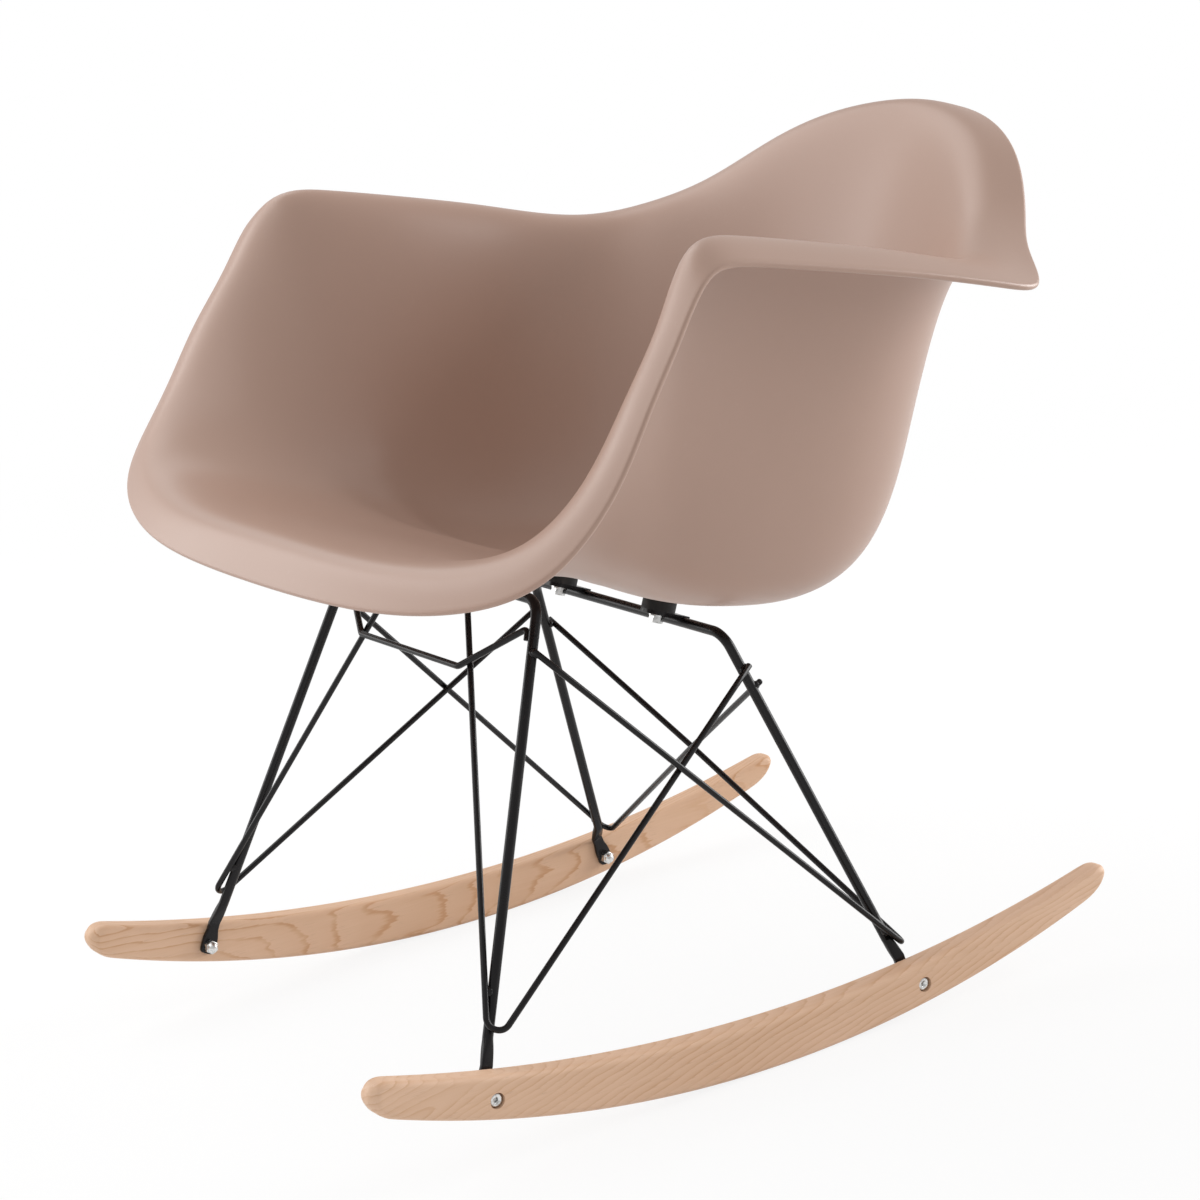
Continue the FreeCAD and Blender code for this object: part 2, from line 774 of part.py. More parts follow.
# The empty chair rolls until its centre of mass lies under the centre of the sole's arc
pivot = vec(0, sole_centre_y, sole_radius + sole_low)
mass = 0.0
moment = vec(0, 0, 0)
for name, shape in nodes.items():
    weight = shape.Volume * density_of(name)
    mass += weight
    moment += shape.CenterOfMass * weight
centre = moment * (1 / mass)
balance = math.degrees(math.atan((centre.y - pivot.y) / (pivot.z - centre.z)))
print("mass kg", round(mass, 2), "balance pitch", round(balance, 2))

for shape in nodes.values():
    shape.rotate(pivot, X_AXIS, -rest_pitch)
points = [p for shape in nodes.values() for p in shape.tessellate(bounds_tolerance)[0]]
depth = [p.y for p in points]
shift = vec(0, -(min(depth) + max(depth)) / 2, -min(p.z for p in points))
print("shift", round(shift.y, 3), round(shift.z, 3))
for name, shape in nodes.items():
    shape.translate(shift)
    shape.exportStep("parts/" + name + ".step")
    if len(shape.Solids) != 1 or not shape.isValid():
        print("check", name)
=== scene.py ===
import json
import math

import bpy
import numpy as np
from mathutils import Matrix, Vector


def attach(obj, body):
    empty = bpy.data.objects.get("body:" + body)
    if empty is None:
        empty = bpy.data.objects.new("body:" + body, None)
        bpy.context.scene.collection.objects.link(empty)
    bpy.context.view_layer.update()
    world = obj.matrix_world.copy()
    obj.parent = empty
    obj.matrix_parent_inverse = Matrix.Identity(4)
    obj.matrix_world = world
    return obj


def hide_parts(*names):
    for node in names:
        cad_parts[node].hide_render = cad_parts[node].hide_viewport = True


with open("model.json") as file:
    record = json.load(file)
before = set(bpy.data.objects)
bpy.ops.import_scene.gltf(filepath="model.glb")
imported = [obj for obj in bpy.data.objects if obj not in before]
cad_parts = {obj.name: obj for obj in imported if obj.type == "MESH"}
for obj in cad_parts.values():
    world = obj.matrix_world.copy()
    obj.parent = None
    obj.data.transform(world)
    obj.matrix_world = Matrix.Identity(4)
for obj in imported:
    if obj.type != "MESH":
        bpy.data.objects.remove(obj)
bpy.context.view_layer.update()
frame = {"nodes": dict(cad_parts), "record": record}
print("frame loaded,", len(frame["nodes"]), "nodes")

# The chair is worked out in millimetres with its rockers level, then turned to its resting pitch

rest = {"pitch": 5.7, "pivotY": 1.7, "pivotZ": 998.8, "shiftY": -4.824, "shiftZ": 1.16}


def restMatrix():
    # turn about the centre of the soles' arc, then a step on to the floor, in metres
    pivot = Vector((0, rest["pivotY"], rest["pivotZ"])) / 1000
    step = Vector((0, rest["shiftY"], rest["shiftZ"])) / 1000
    turn = Matrix.Rotation(math.radians(-rest["pitch"]), 4, "X")
    return Matrix.Translation(pivot + step) @ turn @ Matrix.Translation(-pivot)


def toRest(points):
    # millimetres in the level pose to metres in the resting pose
    turn = np.array(restMatrix())
    return np.asarray(points) / 1000 @ turn[:3, :3].T + turn[:3, 3]


def unit(vectors):
    # the same ways with length 1
    vectors = np.asarray(vectors, float)
    return vectors / np.linalg.norm(vectors, axis=-1, keepdims=True)


def eased(value, low, high):
    # 0 up to low, 1 from high on, and the smooth cubic 3 t^2 - 2 t^3 between them
    t = np.clip((value - low) / (high - low), 0, 1)
    return t * t * (3 - 2 * t)


# Meshes from grids


def gridFaces(rows, columns):
    # quads between the rows of a grid whose columns close around
    row, column = np.meshgrid(np.arange(rows - 1), np.arange(columns), indexing="ij")
    a = row * columns + column
    b = row * columns + (column + 1) % columns
    return np.stack([a, b, b + columns, a + columns], -1).reshape(-1, 4)


def closedSkin(grid):
    # points and faces of a skin of closed rings, each end ring closed by a fan about its middle point
    rows, columns = grid.shape[:2]
    points = np.concatenate([grid.reshape(-1, 3), grid[:1].mean(1), grid[-1:].mean(1)])
    around = np.arange(columns)
    following = (around + 1) % columns
    low = np.full(columns, rows * columns)
    start = np.stack([following, around, low], -1)
    last = (rows - 1) * columns
    end = np.stack([around + last, following + last, low + 1], -1)
    return points, gridFaces(rows, columns), np.concatenate([start, end])


def outward(skin):
    # the same skin with its faces outward: they are turned over where the volume they enclose is negative
    points, quads, fans = skin
    triangles = np.concatenate([quads[:, :3], quads[:, (0, 2, 3)], fans])
    a, b, c = (points[triangles[:, i]] - points.mean(0) for i in range(3))
    if np.einsum("ij,ij->i", a, np.cross(b, c)).sum() < 0:
        quads, fans = quads[:, ::-1], fans[:, ::-1]
    return points, quads, fans


def makeMesh(name, skins, slot):
    # one smooth mesh from several closed skins
    points, quads, fans, first = [], [], [], 0
    for skinPoints, skinQuads, skinFans in skins:
        points.append(skinPoints)
        quads.append(skinQuads + first)
        fans.append(skinFans + first)
        first += len(skinPoints)
    faces = np.concatenate(quads).tolist() + np.concatenate(fans).tolist()
    mesh = bpy.data.meshes.new(name)
    mesh.from_pydata(toRest(np.concatenate(points)), [], faces)
    mesh.validate()
    mesh.shade_smooth()
    mesh.materials.append(looks[slot])
    piece = bpy.data.objects.new(name, mesh)
    bpy.context.scene.collection.objects.link(piece)
    return piece


def makePiece(name, skins, slot, *nodes):
    # a mesh that stands in place of the named nodes
    piece = makeMesh(name, skins, slot)
    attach(piece, "root")
    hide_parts(*nodes)
    return piece


def appliedMesh(piece):
    # the mesh that a piece's modifiers make
    made = bpy.data.meshes.new_from_object(piece.evaluated_get(bpy.context.evaluated_depsgraph_get()))
    piece.modifiers.clear()
    piece.data = made
    return made


# Materials


class Value:
    # a socket that takes part in arithmetic; each expression adds its Math nodes
    def __init__(self, tree, socket):
        self.tree = tree
        self.socket = socket

    def math(self, operation, *others):
        return self.tree.node("ShaderNodeMath", {"operation": operation}, dict(enumerate((self,) + others)))

    def __add__(self, other):
        return self.math("ADD", other)

    def __radd__(self, other):
        return self.math("ADD", other)

    def __sub__(self, other):
        return self.math("SUBTRACT", other)

    def __rsub__(self, other):
        return self.tree.node("ShaderNodeMath", {"operation": "SUBTRACT"}, {0: other, 1: self})

    def __mul__(self, other):
        return self.math("MULTIPLY", other)

    def __rmul__(self, other):
        return self.math("MULTIPLY", other)

    def __truediv__(self, other):
        return self.math("DIVIDE", other)

    def __pow__(self, other):
        return self.math("POWER", other)


class Tree:
    # the nodes of one material or of the world
    def __init__(self, owner):
        owner.use_nodes = True
        self.tree = owner.node_tree
        self.tree.nodes.clear()

    def node(self, kind, settings=None, inputs=None, out=0):
        made = self.tree.nodes.new(kind)
        for key, value in (settings or {}).items():
            setattr(made, key, value)
        for key, value in (inputs or {}).items():
            if isinstance(value, Value):
                self.tree.links.new(value.socket, made.inputs[key])
            else:
                made.inputs[key].default_value = value
        return Value(self, made.outputs[out]) if made.outputs else made

    def place(self):
        return self.node("ShaderNodeTexCoord", out="Object")

    def mix(self, share, first, second):
        # the colour sockets of a Mix node are its inputs 6 and 7 and its output 2
        return self.node("ShaderNodeMix", {"data_type": "RGBA"}, {0: share, 6: first, 7: second}, out=2)

    def smooth(self, value, low, high, least=0.0, most=1.0):
        # least up to low, most from high on, and a smooth cubic between them
        return self.node(
            "ShaderNodeMapRange", {"interpolation_type": "SMOOTHSTEP"},
            {0: value, 1: low, 2: high, 3: least, 4: most})

    def pattern(self, place, scale=1.0, detail=2.0, rough=0.5, stretch=None, **cut):
        # noise, on stretched coordinates where a stretch is given, made a mask where a cut is given
        if stretch:
            place = self.node("ShaderNodeMapping", {}, {"Vector": place, "Scale": stretch})
        noise = self.node(
            "ShaderNodeTexNoise", {},
            {"Vector": place, "Scale": scale, "Detail": detail, "Roughness": rough})
        return self.smooth(noise, **cut) if cut else noise

    def bump(self, height, distance, strength):
        return self.node(
            "ShaderNodeBump", {}, {"Height": height, "Distance": distance, "Strength": strength})

    def surface(self, inputs):
        shader = self.node("ShaderNodeBsdfPrincipled", {}, inputs)
        self.node("ShaderNodeOutputMaterial", {}, {"Surface": shader})


shellLook = {
    "color": (0.424, 0.279, 0.220, 1), "deep": (0.399, 0.261, 0.203, 1), "pale": (0.50, 0.36, 0.30, 1),
    "roughness": 0.36, "specular": 0.5,
    "mottle": {"scale": 7.0, "detail": 3.0, "rough": 0.55},
    "grain": {"scale": 1500.0, "rough": 0.6},
    "wave": {"scale": 26.0},
    "specks": {"scale": 310.0, "detail": 1.0, "low": 0.70, "high": 0.78},
    "scuffAreas": {"scale": 11.0, "low": 0.58, "high": 0.70},
    "scuffLines": {"stretch": (60.0, 420.0, 900.0), "detail": 3.0, "rough": 0.6, "low": 0.66, "high": 0.74},
    "paleBy": {"specks": 0.10, "scuffs": 0.22},
    "roughBy": {"mottle": 0.08, "grain": 0.05, "scuffs": 0.12},
    "heightBy": {"grain": 0.12, "wave": 1.6, "scuffs": 0.5},
    "bump": {"distance": 0.00002, "strength": 0.8},
}


def shellPlastic(tree):
    # moulded plastic: a fine grain, faint flow mottling, small scuffs and rubbed spots
    look, place = shellLook, tree.place()
    keys = ("mottle", "grain", "wave", "specks")
    mottle, grain, wave, specks = (tree.pattern(place, **look[key]) for key in keys)
    scuffs = tree.pattern(place, **look["scuffAreas"]) * tree.pattern(place, **look["scuffLines"])
    pale, rough, height = look["paleBy"], look["roughBy"], look["heightBy"]
    color = tree.mix(mottle, look["deep"], look["color"])
    color = tree.mix(specks * pale["specks"] + scuffs * pale["scuffs"], color, look["pale"])
    roughness = look["roughness"] + (mottle - 0.5) * rough["mottle"] + (grain - 0.5) * rough["grain"]
    relief = grain * height["grain"] + wave * height["wave"] - scuffs * height["scuffs"]
    tree.surface({
        "Base Color": color, "Roughness": roughness + scuffs * rough["scuffs"],
        "Specular IOR Level": look["specular"], "Normal": tree.bump(relief, **look["bump"])})


coatLook = {
    "color": (0.0050, 0.0040, 0.0046, 1), "worn": (0.0095, 0.0080, 0.0088, 1), "roughness": 0.25,
    "specular": 0.27,
    "peel": {"scale": 1300.0},
    "handled": {"scale": 24.0, "detail": 3.0, "rough": 0.6, "low": 0.40, "high": 0.70},
    "dust": {"scale": 2300.0, "detail": 1.0, "low": 0.68, "high": 0.76},
    "wornBy": {"handled": 0.6, "dust": 0.3},
    "roughBy": {"handled": 0.10, "peel": 0.08},
    "bump": {"distance": 0.000008, "strength": 0.5},
}


def blackCoat(tree):
    # baked powder coat on steel: orange peel, dust in it and dull handled stretches
    look, place = coatLook, tree.place()
    peel, handled, dust = (tree.pattern(place, **look[key]) for key in ("peel", "handled", "dust"))
    worn, rough = look["wornBy"], look["roughBy"]
    wear = handled * worn["handled"] + dust * worn["dust"]
    tree.surface({
        "Base Color": tree.mix(wear, look["color"], look["worn"]),
        "Roughness": look["roughness"] + handled * rough["handled"] + (peel - 0.5) * rough["peel"],
        "Specular IOR Level": look["specular"], "Normal": tree.bump(peel, **look["bump"])})


# heart: the middle of the tree beside a board, in metres; tilt: its slant along the board; ring: the
# width of a year's ring; line and band: how brown a ring's end and its body are; drift: uneven rings
ashLook = {
    "pale": (0.720, 0.488, 0.342, 1), "warm": (0.645, 0.420, 0.275, 1), "line": (0.535, 0.295, 0.155, 1),
    "pore": (0.420, 0.255, 0.165, 1), "roughness": 0.46, "specular": 0.4,
    "near": {"heartX": 0.185, "heartZ": 0.128, "tiltX": 0.12, "tiltZ": 0.20, "ring": 0.0050, "line": 0.30,
             "band": 0.26, "drift": 2.0},
    "far": {"heartX": -0.290, "heartZ": 0.030, "tiltX": 0.105, "tiltZ": 0.01, "ring": 0.0043, "line": 0.72,
            "band": 0.22, "drift": 0.5},
    "wander": {"stretch": (4.0, 2.6, 4.0), "scale": 2.2},
    "ripple": {"stretch": (70.0, 14.0, 70.0), "detail": 3.0, "rough": 0.6},
    "ragged": {"stretch": (420.0, 22.0, 420.0), "rough": 0.6},
    "wobble": {"wander": 0.022, "ripple": 0.0030, "ragged": 0.0016},
    "drift": {"stretch": (34.0, 3.0, 34.0), "detail": 1.0},
    "fibres": {"stretch": (620.0, 11.0, 620.0), "detail": 3.0, "rough": 0.65},
    "pores": {"stretch": (1500.0, 60.0, 1500.0), "detail": 1.0, "low": 0.60, "high": 0.72},
    "tone": {"stretch": (14.0, 5.0, 14.0)},
    "patch": {"stretch": (90.0, 6.0, 90.0), "low": 0.32, "high": 0.66, "least": 0.35, "most": 1.25},
    "lateBand": {"low": 0.10, "high": 0.90},
    "lateLine": {"low": 0.72, "high": 0.92},
    "lateEnd": {"low": 0.935, "high": 1.0, "least": 1.0, "most": 0.0},
    "early": {"low": 0.30, "high": 0.02},
    "toneCut": {"low": 0.3, "high": 0.7},
    "warmBy": {"tone": 0.6, "fibres": 0.8, "far": 0.5},
    "lineLeast": 0.4, "poreLeast": 0.08, "poreEarly": 0.30,
    "roughBy": {"fibres": 0.16, "pores": 0.10},
    "heightBy": {"fibres": 0.5, "pores": 0.4, "late": 0.3},
    "bump": {"distance": 0.00007, "strength": 0.7},
}


def ashRings(tree, place, isNear, x, y, z):
    # distance from the tilted heart, made uneven, over the width of a ring: its fraction is the place
    # in the ring, from which come the brown late wood and the open early wood
    look, near, far = ashLook, ashLook["near"], ashLook["far"]

    def pick(key):
        return isNear * (near[key] - far[key]) + far[key]

    side = x - pick("heartX") + y * pick("tiltX")
    rise = z - pick("heartZ") - y * pick("tiltZ")
    radius = (side * side + rise * rise) ** 0.5
    for key, reach in look["wobble"].items():
        radius = radius + (tree.pattern(place, **look[key]) - 0.5) * reach
    drift = tree.pattern(place, **look["drift"])
    phase = (radius / pick("ring") + (drift - 0.5) * pick("drift")).math("FRACT")
    band, line, end = (tree.smooth(phase, **look[key]) for key in ("lateBand", "lateLine", "lateEnd"))
    return (band * pick("band") + line * pick("line")) * end, tree.smooth(phase, **look["early"])


def ashWood(tree):
    # ash: rings about a tilted heart beside each board, so that one face shows long streaks and the
    # other wide arches; each ring ends in a thin brown line with ragged edges and a row of pores
    look, place = ashLook, tree.place()
    x, y, z = (tree.node("ShaderNodeSeparateXYZ", {}, {0: place}, out=i) for i in range(3))
    isNear = x.math("GREATER_THAN", 0.0)
    late, early = ashRings(tree, place, isNear, x, y, z)
    keys = ("fibres", "pores", "tone", "patch")
    fibres, pores, tone, patch = (tree.pattern(place, **look[key]) for key in keys)
    warm, rough, height = look["warmBy"], look["roughBy"], look["heightBy"]
    warmth = tree.smooth(tone, **look["toneCut"]) * warm["tone"] + (fibres - 0.5) * warm["fibres"]
    color = tree.mix(warmth + (1 - isNear) * warm["far"], look["pale"], look["warm"])
    color = tree.mix(late * (look["lineLeast"] + tone) * patch, color, look["line"])
    color = tree.mix(pores * (look["poreLeast"] + early * look["poreEarly"]), color, look["pore"])
    relief = fibres * height["fibres"] - pores * (height["pores"] + early) + late * height["late"]
    tree.surface({
        "Base Color": color,
        "Roughness": look["roughness"] + (fibres - 0.5) * rough["fibres"] + pores * rough["pores"],
        "Specular IOR Level": look["specular"], "Normal": tree.bump(relief, **look["bump"])})


rubberLook = {
    "color": (0.012, 0.012, 0.012, 1), "bloomed": (0.045, 0.043, 0.042, 1), "roughness": 0.62,
    "specular": 0.35, "bloomShare": 0.5, "grainRough": 0.2,
    "grain": {"scale": 1300.0, "detail": 3.0, "rough": 0.6},
    "bloom": {"scale": 90.0, "detail": 3.0, "low": 0.45, "high": 0.75},
    "bump": {"distance": 0.00005, "strength": 0.6},
}


def blackRubber(tree):
    # moulded rubber: fine grain and pale bloom
    look, place = rubberLook, tree.place()
    grain, bloom = (tree.pattern(place, **look[key]) for key in ("grain", "bloom"))
    tree.surface({
        "Base Color": tree.mix(bloom * look["bloomShare"], look["color"], look["bloomed"]),
        "Roughness": look["roughness"] + (grain - 0.5) * look["grainRough"],
        "Specular IOR Level": look["specular"], "Normal": tree.bump(grain, **look["bump"])})


zincLook = {
    "color": (0.74, 0.74, 0.73, 1), "dulled": (0.52, 0.52, 0.51, 1), "roughness": 0.22, "dullRough": 0.18,
    "markRough": 0.14,
    "marks": {"stretch": (2600.0, 260.0, 2600.0), "rough": 0.6},
    "dull": {"scale": 420.0, "detail": 3.0, "rough": 0.6, "low": 0.42, "high": 0.68},
    "bump": {"distance": 0.00003, "strength": 0.5},
}


def zincSteel(tree):
    # bright zinc plate: turning marks, spangle and small dull patches
    look, place = zincLook, tree.place()
    marks, dull = (tree.pattern(place, **look[key]) for key in ("marks", "dull"))
    roughness = look["roughness"] + dull * look["dullRough"] + (marks - 0.5) * look["markRough"]
    tree.surface({
        "Base Color": tree.mix(dull, look["color"], look["dulled"]), "Metallic": 1.0,
        "Roughness": roughness, "Normal": tree.bump(marks, **look["bump"])})


brassLook = {
    "color": (0.78, 0.58, 0.26, 1), "dulled": (0.50, 0.36, 0.16, 1), "roughness": 0.28, "dullRough": 0.2,
    "marks": {"stretch": (400.0, 400.0, 3000.0)},
    "dull": {"scale": 240.0, "detail": 3.0, "low": 0.40, "high": 0.70},
    "bump": {"distance": 0.00003, "strength": 0.5},
}


def insertBrass(tree):
    # turned brass with a dull skin in places
    look, place = brassLook, tree.place()
    marks, dull = (tree.pattern(place, **look[key]) for key in ("marks", "dull"))
    roughness = look["roughness"] + dull * look["dullRough"]
    tree.surface({
        "Base Color": tree.mix(dull, look["color"], look["dulled"]), "Metallic": 1.0,
        "Roughness": roughness, "Normal": tree.bump(marks, **look["bump"])})


looks = {}
makers = {
    "shell_plastic": shellPlastic, "black_coat": blackCoat, "ash_wood": ashWood,
    "black_rubber": blackRubber, "zinc_steel": zincSteel, "insert_brass": insertBrass,
}
for slotName, maker in makers.items():
    looks[slotName] = bpy.data.materials.new(slotName)
    maker(Tree(looks[slotName]))
print("materials made:", len(looks))

# Seat shell, in millimetres: half the width over the arms, the front and height of the lip, the height
# of the arms in front and behind, the rear of wings and crest, and how far the crown, where the walls
# turn over, lies inside the rim (flange) and above it (crown)

shell = {
    "wall": 5.0, "lipFront": 232.5, "lipHeight": 372.0, "armHalf": 314.0, "armFront": 616.0,
    "armRear": 590.0, "wingRear": 253.0, "crestRear": 405.0, "crestHeight": 702.0, "flange": 62.0,
    "crown": 30.5, "floorHalf": 204.0, "floorHeight": 341.0, "centreY": 40.0, "centreRise": 13.0,
    "disc": 9.0, "tilt": 14.8, "seatShare": (0.55, 0.55, 0.5), "wallShare": (0.55, 0.55, 0.5),
    "flareShare": 0.55, "inside": (0, 60.0, 520.0), "samplesAround": 9, "samplesAcross": 22, "noseSteps": 8,
}


def rimStations():
    # guide points of the rim, from the middle of the lip to the middle of the crest
    half, front, lip = shell["armHalf"], shell["lipFront"], shell["lipHeight"]
    arm, low = shell["armFront"], shell["armRear"]
    wing, rear, top = shell["wingRear"], shell["crestRear"], shell["crestHeight"]
    return np.array([
        (0, -front, lip), (90, 1.5 - front, lip + 1), (180, 10 - front, lip + 6),
        (half - 56, 29 - front, lip + 20), (half - 8, 57 - front, lip + 48), (half + 7, -139, 468),
        (half + 7, -110.5, 520), (half + 3, -83, arm - 50), (half + 1, -55, arm - 7), (half, -12, arm),
        (half, 60, arm - 7), (half, 140, low + 10), (half - 1, wing - 44, low),
        (half - 15, wing + 1, low - 2), (half - 68, wing + 38, low + 17), (half - 114, rear - 77, top - 70),
        (half - 164, rear - 42, top - 34), (84, rear - 15, top - 8), (0, rear, top)], float)


def crownStations():
    # guide points of the crown, where the walls turn over into the flange and the lip
    half, front, lip = shell["armHalf"] - shell["flange"], shell["lipFront"], shell["lipHeight"]
    arm, low = shell["armFront"] + shell["crown"], shell["armRear"] + shell["crown"]
    wing, rear, top = shell["wingRear"], shell["crestRear"], shell["crestHeight"]
    return np.array([
        (0, 10.5 - front, lip + 34), (88, 11.5 - front, lip + 34), (172, 20.5 - front, lip + 37),
        (half - 9, 38.5 - front, lip + 48), (half + 32, 62.5 - front, lip + 72), (half + 44, -137, 488),
        (half + 41, -107, 541), (half + 34, -76, arm - 52), (half + 22, -47, arm - 5), (half + 6, 4, arm),
        (half - 2, 64, arm - 7), (half - 3, 134, low + 9), (half - 10, 188, low),
        (half - 32, wing - 17, low - 2), (half - 66, wing + 17, low + 4), (half - 100, rear - 103, top - 59),
        (half - 140, rear - 71, top - 27), (62, rear - 45, top - 2), (0, rear - 31, top + 10)], float)


def floorStations():
    # guide points of the floor's edge, where the seat turns up into the walls and the back
    half, low = shell["floorHalf"], shell["floorHeight"]
    return np.array([
        (0, -158, low + 58), (56, -156, low + 58), (104, -149, low + 57), (138, -135, low + 55),
        (158, -113, low + 52), (170, -88, low + 48), (half - 25, -60, low + 42), (half - 17, -32, low + 31),
        (half - 10, -2, low + 20), (half - 3, 30, low + 7), (half + 1, 70, low - 4), (half, 114, low - 10),
        (half - 7, 153, low - 12), (half - 22, 190, low - 8), (half - 48, 219, low),
        (half - 78, 239, low + 8), (90, 255, low + 15), (46, 261, low + 18), (0, 263, low + 19)], float)


def mirrored(half):
    # both sides of the ring from the stations of one half
    return np.concatenate([half, (half * (-1, 1, 1))[-2:0:-1]])


def shellRings():
    # seven rings from a small disc in the seat's middle out to the rim; those between the guide lines
    # are shares of their neighbours
    rim, crown, edge = (mirrored(stations()) for stations in (rimStations, crownStations, floorStations))
    centre = np.array((0, shell["centreY"], shell["floorHeight"] + shell["centreRise"]))
    away = unit((edge - centre) * (1, 1, 0)) * shell["disc"]
    disc = centre + away - away[:, 1:2] * (0, 0, math.tan(math.radians(shell["tilt"])))
    seat = centre + (edge - centre) * shell["seatShare"]
    share = np.array(shell["wallShare"])
    wall = edge * share + crown * (1 - share)
    flare = crown * (1 - shell["flareShare"]) + rim * shell["flareShare"]
    return np.stack([disc, seat, edge, wall, crown, flare, rim])


def ringPoles(rings):
    # control points whose closed cubic passes through each ring's points: (p before + 4 p + p after) / 6
    count = rings.shape[1]
    pull = np.eye(count) * 4 + np.roll(np.eye(count), 1, 0) + np.roll(np.eye(count), -1, 0)
    return np.einsum("ij,rjk->rik", np.linalg.inv(pull / 6), rings)


def aroundWeights(count, samples):
    # weights of the closed uniform cubic at evenly spaced places around
    u = np.arange(count * samples) / samples
    gap = (u[:, None] - np.arange(count)[None] + count / 2) % count - count / 2
    a = np.abs(gap)
    return np.where(a < 1, (4 - 6 * a**2 + 3 * a**3) / 6, np.where(a < 2, (2 - a) ** 3 / 6, 0))


def acrossWeights(rows, places):
    # weights of the clamped uniform cubic, by the usual recursion on the knots
    spans = rows - 3
    knots = np.concatenate([np.zeros(3), np.arange(spans + 1), np.full(3, spans)]).astype(float)
    t = np.clip(places, 0, spans - 1e-9)[:, None]
    weight = ((t >= knots[:-1]) & (t < knots[1:])).astype(float)
    for degree in (1, 2, 3):
        below = knots[degree:-1] - knots[: -degree - 1]
        above = knots[degree + 1:] - knots[1:-degree]
        rising = np.where(below > 0, (t - knots[: -degree - 1]) / np.where(below > 0, below, 1), 0)
        falling = np.where(above > 0, (knots[degree + 1:] - t) / np.where(above > 0, above, 1), 0)
        weight = rising * weight[:, :-1] + falling * weight[:, 1:]
    return weight


def shellSkin():
    # inner surface: the cubic net through the rings, from the seat's middle to the rim; then a half
    # round nose, and the outer surface back, which is the inner one moved out by the wall
    poles = ringPoles(shellRings())
    spans = len(poles) - 3
    around = aroundWeights(poles.shape[1], shell["samplesAround"])
    across = acrossWeights(len(poles), np.linspace(0, spans, spans * shell["samplesAcross"] + 1))
    inner = np.einsum("vr,rik,ui->vuk", across, poles, around)
    ahead = np.roll(inner, -1, 1) - np.roll(inner, 1, 1)
    rising = np.gradient(inner, axis=0)
    normal = unit(np.cross(ahead, rising))
    if ((inner - np.array(shell["inside"])) * normal)[len(inner) // 2].sum() < 0:
        normal = -normal
    lean = math.radians(shell["tilt"])
    normal[0] = (0, -math.sin(lean), -math.cos(lean))
    outer = inner + normal * shell["wall"]
    half = shell["wall"] / 2
    turn = np.linspace(0, math.pi, shell["noseSteps"] + 2)[1:-1, None, None]
    edge = (inner[-1] + outer[-1]) / 2
    nose = edge - normal[-1] * half * np.cos(turn) + unit(rising[-1]) * half * np.sin(turn)
    return outward(closedSkin(np.concatenate([inner, nose, outer[::-1]])))


# Mounts under the seat, and the two main rods that carry them, in the level pose

mount = {
    "half": 67.4, "inset": 17.8, "lift": 1.0, "spacer": 8.0, "spacerRadius": 13.4, "spacerInner": 8.0,
    "bossRadius": 13.5, "bossHeight": {"front": 4.0, "rear": 11.5}, "bossRound": 1.2,
    "bossFlare": 2.0, "flareFrom": 0.55, "flareMiddle": 0.75, "bossSunk": {"inset": 3.0, "rise": 1.0},
    "sides": 64,
}
rods = {
    "radius": 4.0, "bend": 16.0, "footThick": 4.0, "footWide": 13.0, "footLength": 18.0, "facePlane": 208.0,
    "strapWide": 9.4, "eyeFrom": 5.0, "eyeBlend": 9.0, "strapPower": 7.0, "roundPower": 2.0, "sides": 28,
    "tipSteps": 10, "tipGap": 0.02, "eyeSteps": 8, "ankleSteps": 14,
    "front": {"half": 131.0, "y": -69.8, "z": 359.5, "ankle": (198.9, -158.8, 65.0),
              "bolt": (-170.0, 28.9)},
    "rear": {"half": 129.6, "y": 99.0, "z": 314.8, "ankle": (196.5, 209.3, 71.5),
             "bolt": (222.2, 40.5)},
}
sidesOfChair = (("left", 1), ("right", -1))


def revolved(base, axis, profile, sides):
    # a profile of (radius, height) pairs turned about an axis; the ring starts at any way across it
    helper = unit(np.cross(axis, (1.0, 0.2, 0.1)))
    other = np.cross(axis, helper)
    angle = np.linspace(0, 2 * math.pi, sides, endpoint=False)
    ring = np.cos(angle)[:, None] * helper + np.sin(angle)[:, None] * other
    profile = np.asarray(profile, float)
    return base + profile[:, 1, None, None] * axis + profile[:, 0, None, None] * ring


def mountPoint(side, end):
    # top of the tab at one mount, and the way up its bolt, square to the seat
    lean = math.radians(shell["tilt"])
    up = np.array((0, math.sin(lean), math.cos(lean)))
    inward = np.array((0, math.cos(lean), -math.sin(lean))) * (1 if end == "front" else -1)
    crossRod = np.array((side * mount["half"], rods[end]["y"], rods[end]["z"]))
    return crossRod + inward * mount["inset"] + up * (rods["radius"] + mount["lift"]), up


def bossSkin(side, end):
    # round boss: a turned wall with a soft foot, which flares into the underside of the seat
    point, up = mountPoint(side, end)
    radius, height = mount["bossRadius"], mount["bossHeight"][end]
    soft, flare, sunk = mount["bossRound"], mount["bossFlare"], mount["bossSunk"]
    profile = [
        (radius - soft, 0), (radius - soft / 3, soft / 4), (radius, soft),
        (radius, height * mount["flareFrom"]), (radius + flare / 4, height * mount["flareMiddle"]),
        (radius + flare, height), (radius - sunk["inset"], height + sunk["rise"])]
    return outward(closedSkin(revolved(point + up * mount["spacer"], up, profile, mount["sides"])))


skins = [shellSkin()] + [bossSkin(side, end) for _, side in sidesOfChair for end in ("front", "rear")]
makePiece("seatShell", skins, "shell_plastic", "seat_shell")
print("seat shell made")

# Main rods

pathSteps = {"run": 12, "bend": 1.2, "bendLeast": 6}


